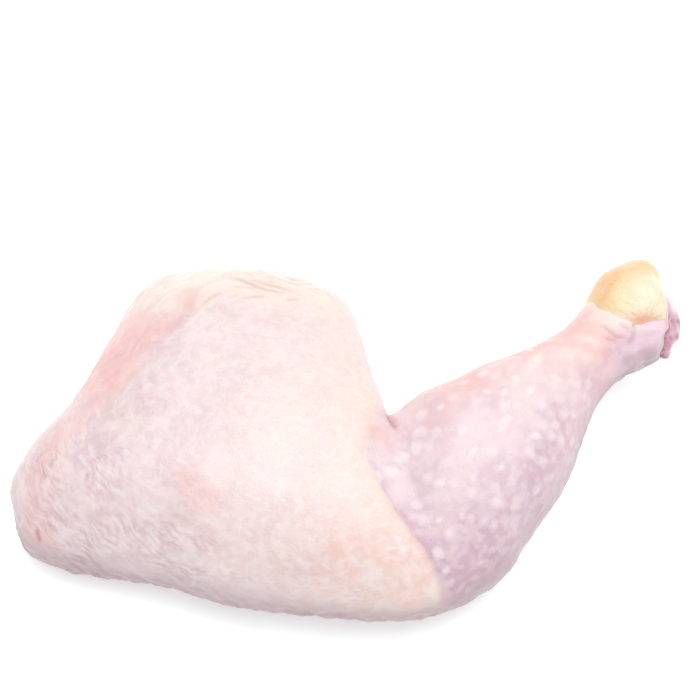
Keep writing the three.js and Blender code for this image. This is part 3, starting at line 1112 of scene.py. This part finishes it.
scale_cap, share, turn, at_cap, angle_cap, base = add_lens("hock_scales", cap_place, cap_lift, CAP_DEPTH)
cap_degrees = np.degrees(angle_cap)
far = np.linalg.norm(base - PINCH, axis=-1)
warm = 1.3 * bell(at_cap, 15.5, 0.6) * bell(cap_degrees, 142, 34)
top_edge = smooth(98, 124, cap_degrees) * smooth(18.4, 17.2, at_cap)
lower_left = smooth(0.25, -0.35, np.sin(turn)) * smooth(0.55, 0.1, np.cos(turn))
for name, field in {
    "crack": cracks(base),
    "orange": warm + 0.75 * top_edge + 0.6 * smooth(0.9, 0.99, share) * smooth(-0.2, 0.5, np.cos(turn)),
    "peel": bell(at_cap, 15.4, 0.8) * bell(cap_degrees, 104, 30),
    "pinch": bell(far, 0, 3.2) + 0.5 * bell(far, 0, 7) * smooth(0.7, 1, share),
    "border": smooth(0.86, 0.98, share) * lower_left,
}.items():
    paint(scale_cap, name, np.clip(field, 0, 1), UNDER_RINGS - 1)
print("the scale cap is", np.round(np.ptp(base.reshape(-1, 3), axis=0), 1), "mm across")

# %% [markdown]
# The end of the joint is pale gristle that fills the opening in the skin. It follows the leg's own form,
# sunk under the skin behind the cut and rising out of it beyond, with a groove between the joint's two
# halves. The upper half is smooth and pale, the lower one raw. Its rows crowd at the tip as sin(t pi / 2),
# because the form closes there like an ellipse.

# %% The joint's end
KNOB_ROWS, KNOB_COLUMNS = 110, 160
KNOB_BEHIND = 0.8  # slices
KNOB_SUNK = 1.4  # millimetres under the form, where the skin ends
GROOVE_ANGLE, GROOVE_WIDTH, GROOVE_DEPTH = 40, 12, 0.9  # degrees and millimetres
CORNER_ANGLE, CORNER_WIDTH, CORNER_RISE = -62, 40, 1.8  # the low corner, counted from the groove
steps = np.sin(np.linspace(0, pi / 2, KNOB_ROWS + 1)[:-1])
step, around = grid_of(steps, np.linspace(0, 2 * pi, KNOB_COLUMNS, endpoint=False))
knob_from = cut_slice(around) - KNOB_BEHIND
knob_at = knob_from + (LAST_SLICE - knob_from) * step
past_cut = knob_at - cut_slice(around)
knob_base = leg_form(knob_at, around)
closing = 1 - step ** 8  # 0 at the tip
knob_turn = (np.degrees(around) - GROOVE_ANGLE + 180) % 360 - 180  # from the groove, up (+) or down (-)
groove = bell(knob_turn, 0, GROOVE_WIDTH) * smooth(-0.3, 0.3, past_cut) * closing
raw_half = smooth(25, -15, knob_turn) * smooth(-170, -120, knob_turn)
low_corner = bell(knob_turn, CORNER_ANGLE, CORNER_WIDTH) * closing * smooth(0, 0.6, past_cut)
knob_lift = -0.3 - KNOB_SUNK * (1 - smooth(-0.1, 0.5, past_cut))
knob_lift += CORNER_RISE * low_corner - GROOVE_DEPTH * groove
knob_lift += (0.25 + 0.4 * raw_half) * noise(knob_base, 3.5, 24) * smooth(0, 0.4, past_cut) * closing
knob = knob_base + outward(knob_at, around) * (knob_lift - shoulder(knob_at, around))[..., None]
joint_end = add_tube("joint_end", knob[0].mean(0), knob, knob[-1].mean(0))
paint(joint_end, "groove", groove)
paint(joint_end, "raw_half", raw_half)
print("the joint's end and the solid reach, in mm:", np.round([knob[..., 0].max(), high[0]], 1))

# %% The hock's finishes
tree, surface = new_finish(scale_cap, "hock_scale", 0.4, 0.001, Coat_Weight=0.15, Coat_Roughness=0.25)
place = add(tree, "TexCoord").outputs["Object"]
colour = layered(tree, tone(252, 239, 205), [
    ((253, 246, 219), clouds(tree, place, 140, 0.5, 0.16), 1.0),
    ((254, 228, 166), "peel", 0.8),
    ((254, 202, 142), "orange", 0.95),
    ((255, 250, 234), clouds(tree, place, 700, 0.5, 0.14), 0.14),
    ((250, 182, 158), "pinch", 0.9),
    ((198, 166, 126), "crack", 0.62),
    ((254, 238, 222), "border", 0.35),
])
set_inputs(tree, surface, Base_Color=colour, Normal=grained(tree, place, 900, 0.18, 0.0003))

tree, surface = new_finish(joint_end, "gristle", 0.3, 0.001, Coat_Weight=0.3, Coat_Roughness=0.15)
place = add(tree, "TexCoord").outputs["Object"]
bloody = times(tree, clouds(tree, place, 300, 0.55, 0.08), share_of(tree, "raw_half"))
colour = layered(tree, tone(226, 186, 200), [
    ((240, 208, 216), clouds(tree, place, 260, 0.5, 0.15), 1.0),
    ((214, 150, 176), "raw_half", 0.85),
    ((204, 128, 158), "groove", 0.7),
    ((178, 76, 106), bloody, 0.85),
])
set_inputs(tree, surface, Base_Color=colour, Normal=grained(tree, place, 1000, 0.4, 0.0003))

# %% The table
tree, surface = new_finish(floor, "table_white", 0.9, 0.001, Base_Color=(0.9, 0.955, 0.955, 1))
set_inputs(tree, surface, Subsurface_Weight=0, Emission_Color=(1, 1, 1, 1), Emission_Strength=0.28)

# %% [markdown]
# ## Attached to the body
#
# Every piece rides on the leg's one body and stands for its one solid, which is hidden.

# %% Finish
for piece, slot in {skin: "skin", scale_cap: "hock_skin", joint_end: "joint"}.items():
    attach(piece, "root")
    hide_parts(NODE)
